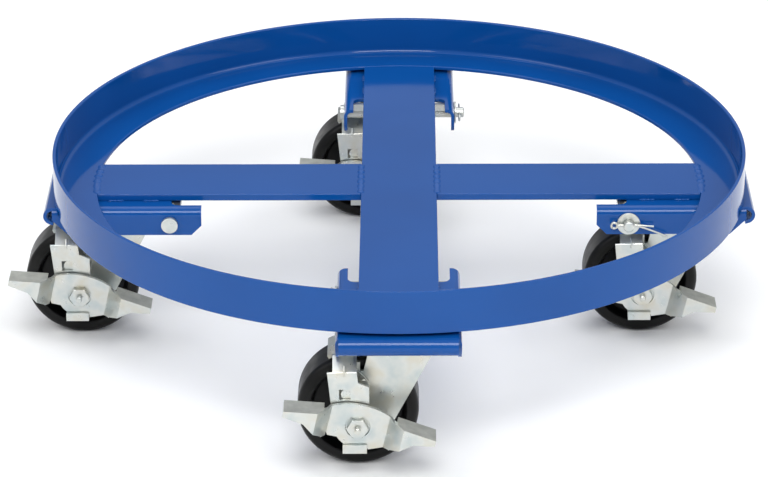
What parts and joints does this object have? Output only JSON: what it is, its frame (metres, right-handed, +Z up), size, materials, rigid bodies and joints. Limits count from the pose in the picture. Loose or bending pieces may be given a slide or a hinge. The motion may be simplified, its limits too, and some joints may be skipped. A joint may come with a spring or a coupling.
{
  "type": "drum dolly",
  "caption": "Low round dolly for a steel drum: blue steel angle ring on a flat-bar cross, with braked swivel casters pinned in folded brackets.",
  "frame": {"origin": "on the floor, straight below the centre of the ring", "axes": "+X right, with every caster trailing to -X at rest; +Y to the back; +Z up"},
  "size_m": [0.6592, 0.6305, 0.1777],
  "materials": {
    "powder_coat": "gloss blue powder coat on steel",
    "zinc_plate": "bright zinc plate on pressed steel",
    "bearing_steel": "greased bearing steel",
    "bronze": "sintered bronze",
    "hard_rubber": "moulded hard rubber, semi-gloss"
  },
  "bodies": {
    "frame": {"ring": "powder_coat", "long_bar": "powder_coat", "half_bar_right": "powder_coat", "half_bar_left": "powder_coat", "bracket_right": "powder_coat", "bracket_back": "powder_coat", "bracket_left": "powder_coat", "bracket_front": "powder_coat", "caster_plate_right": "zinc_plate", "caster_plate_back": "zinc_plate", "caster_plate_left": "zinc_plate", "caster_plate_front": "zinc_plate", "kingpin_right": "zinc_plate", "kingpin_back": "zinc_plate", "kingpin_left": "zinc_plate", "kingpin_front": "zinc_plate"},
    "fork_right": {"yoke_right": "zinc_plate", "swivel_balls_right": "bearing_steel", "axle_bolt_right": "zinc_plate", "axle_fasteners_right": "zinc_plate", "brake_plate_right": "zinc_plate"},
    "wheel_right": {"wheel_right": "hard_rubber", "wheel_bush_right": "bronze"},
    "lever_right": {"brake_lever_right": "zinc_plate"},
    "shoe_right": {"brake_shoe_right": "zinc_plate"},
    "pin_right": {"clevis_pin_right": "zinc_plate", "cotter_pin_right": "zinc_plate"},
    "fork_back": {"yoke_back": "zinc_plate", "swivel_balls_back": "bearing_steel", "axle_bolt_back": "zinc_plate", "axle_fasteners_back": "zinc_plate", "brake_plate_back": "zinc_plate"},
    "wheel_back": {"wheel_back": "hard_rubber", "wheel_bush_back": "bronze"},
    "lever_back": {"brake_lever_back": "zinc_plate"},
    "shoe_back": {"brake_shoe_back": "zinc_plate"},
    "pin_back": {"clevis_pin_back": "zinc_plate", "cotter_pin_back": "zinc_plate"},
    "fork_left": {"yoke_left": "zinc_plate", "swivel_balls_left": "bearing_steel", "axle_bolt_left": "zinc_plate", "axle_fasteners_left": "zinc_plate", "brake_plate_left": "zinc_plate"},
    "wheel_left": {"wheel_left": "hard_rubber", "wheel_bush_left": "bronze"},
    "lever_left": {"brake_lever_left": "zinc_plate"},
    "shoe_left": {"brake_shoe_left": "zinc_plate"},
    "pin_left": {"clevis_pin_left": "zinc_plate", "cotter_pin_left": "zinc_plate"},
    "fork_front": {"yoke_front": "zinc_plate", "swivel_balls_front": "bearing_steel", "axle_bolt_front": "zinc_plate", "axle_fasteners_front": "zinc_plate", "brake_plate_front": "zinc_plate"},
    "wheel_front": {"wheel_front": "hard_rubber", "wheel_bush_front": "bronze"},
    "lever_front": {"brake_lever_front": "zinc_plate"},
    "shoe_front": {"brake_shoe_front": "zinc_plate"},
    "pin_front": {"clevis_pin_front": "zinc_plate", "cotter_pin_front": "zinc_plate"}
  },
  "joints": [
    {"name": "swivel_right", "type": "hinge", "parent": "frame", "child": "fork_right", "pos_m": [0.2503, 0, 0.1134], "axis": [0, 0, 1], "continuous": true},
    {"name": "roll_right", "type": "hinge", "parent": "fork_right", "child": "wheel_right", "pos_m": [0.2163, 0, 0.0508], "axis": [0, 1, 0], "continuous": true},
    {"name": "brake_lever_right", "type": "hinge", "parent": "fork_right", "child": "lever_right", "pos_m": [0.2163, 0, 0.0508], "axis": [0, -1, 0], "range_deg": [0, 25]},
    {"name": "brake_shoe_right", "type": "hinge", "parent": "fork_right", "child": "shoe_right", "pos_m": [0.2213, 0, 0.0798], "axis": [0, -1, 0], "range_deg": [0, 4]},
    {"name": "pin_turn_right", "type": "hinge", "parent": "frame", "child": "pin_right", "pos_m": [0.20195, 0, 0.1221], "axis": [0, 1, 0], "range_deg": [-205, 15]},
    {"name": "swivel_back", "type": "hinge", "parent": "frame", "child": "fork_back", "pos_m": [0, 0.2503, 0.1134], "axis": [0, 0, 1], "continuous": true},
    {"name": "roll_back", "type": "hinge", "parent": "fork_back", "child": "wheel_back", "pos_m": [-0.034, 0.2503, 0.0508], "axis": [0, 1, 0], "continuous": true},
    {"name": "brake_lever_back", "type": "hinge", "parent": "fork_back", "child": "lever_back", "pos_m": [-0.034, 0.2503, 0.0508], "axis": [0, -1, 0], "range_deg": [0, 25]},
    {"name": "brake_shoe_back", "type": "hinge", "parent": "fork_back", "child": "shoe_back", "pos_m": [-0.029, 0.2503, 0.0798], "axis": [0, -1, 0], "range_deg": [0, 4]},
    {"name": "pin_turn_back", "type": "hinge", "parent": "frame", "child": "pin_back", "pos_m": [0, 0.20195, 0.1221], "axis": [-1, 0, 0], "range_deg": [-205, 15]},
    {"name": "swivel_left", "type": "hinge", "parent": "frame", "child": "fork_left", "pos_m": [-0.2503, 0, 0.1134], "axis": [0, 0, 1], "continuous": true},
    {"name": "roll_left", "type": "hinge", "parent": "fork_left", "child": "wheel_left", "pos_m": [-0.2843, 0, 0.0508], "axis": [0, 1, 0], "continuous": true},
    {"name": "brake_lever_left", "type": "hinge", "parent": "fork_left", "child": "lever_left", "pos_m": [-0.2843, 0, 0.0508], "axis": [0, -1, 0], "range_deg": [0, 25]},
    {"name": "brake_shoe_left", "type": "hinge", "parent": "fork_left", "child": "shoe_left", "pos_m": [-0.2793, 0, 0.0798], "axis": [0, -1, 0], "range_deg": [0, 4]},
    {"name": "pin_turn_left", "type": "hinge", "parent": "frame", "child": "pin_left", "pos_m": [-0.20195, 0, 0.1221], "axis": [0, -1, 0], "range_deg": [-205, 15]},
    {"name": "swivel_front", "type": "hinge", "parent": "frame", "child": "fork_front", "pos_m": [0, -0.2503, 0.1134], "axis": [0, 0, 1], "continuous": true},
    {"name": "roll_front", "type": "hinge", "parent": "fork_front", "child": "wheel_front", "pos_m": [-0.034, -0.2503, 0.0508], "axis": [0, 1, 0], "continuous": true},
    {"name": "brake_lever_front", "type": "hinge", "parent": "fork_front", "child": "lever_front", "pos_m": [-0.034, -0.2503, 0.0508], "axis": [0, -1, 0], "range_deg": [0, 25]},
    {"name": "brake_shoe_front", "type": "hinge", "parent": "fork_front", "child": "shoe_front", "pos_m": [-0.029, -0.2503, 0.0798], "axis": [0, -1, 0], "range_deg": [0, 4]},
    {"name": "pin_turn_front", "type": "hinge", "parent": "frame", "child": "pin_front", "pos_m": [0, -0.20195, 0.1221], "axis": [1, 0, 0], "range_deg": [-205, 15]}
  ],
  "couplings": [
    {"joint": "brake_shoe_right", "follows": "brake_lever_right", "ratio": 0.16},
    {"joint": "brake_shoe_back", "follows": "brake_lever_back", "ratio": 0.16},
    {"joint": "brake_shoe_left", "follows": "brake_lever_left", "ratio": 0.16},
    {"joint": "brake_shoe_front", "follows": "brake_lever_front", "ratio": 0.16}
  ]
}
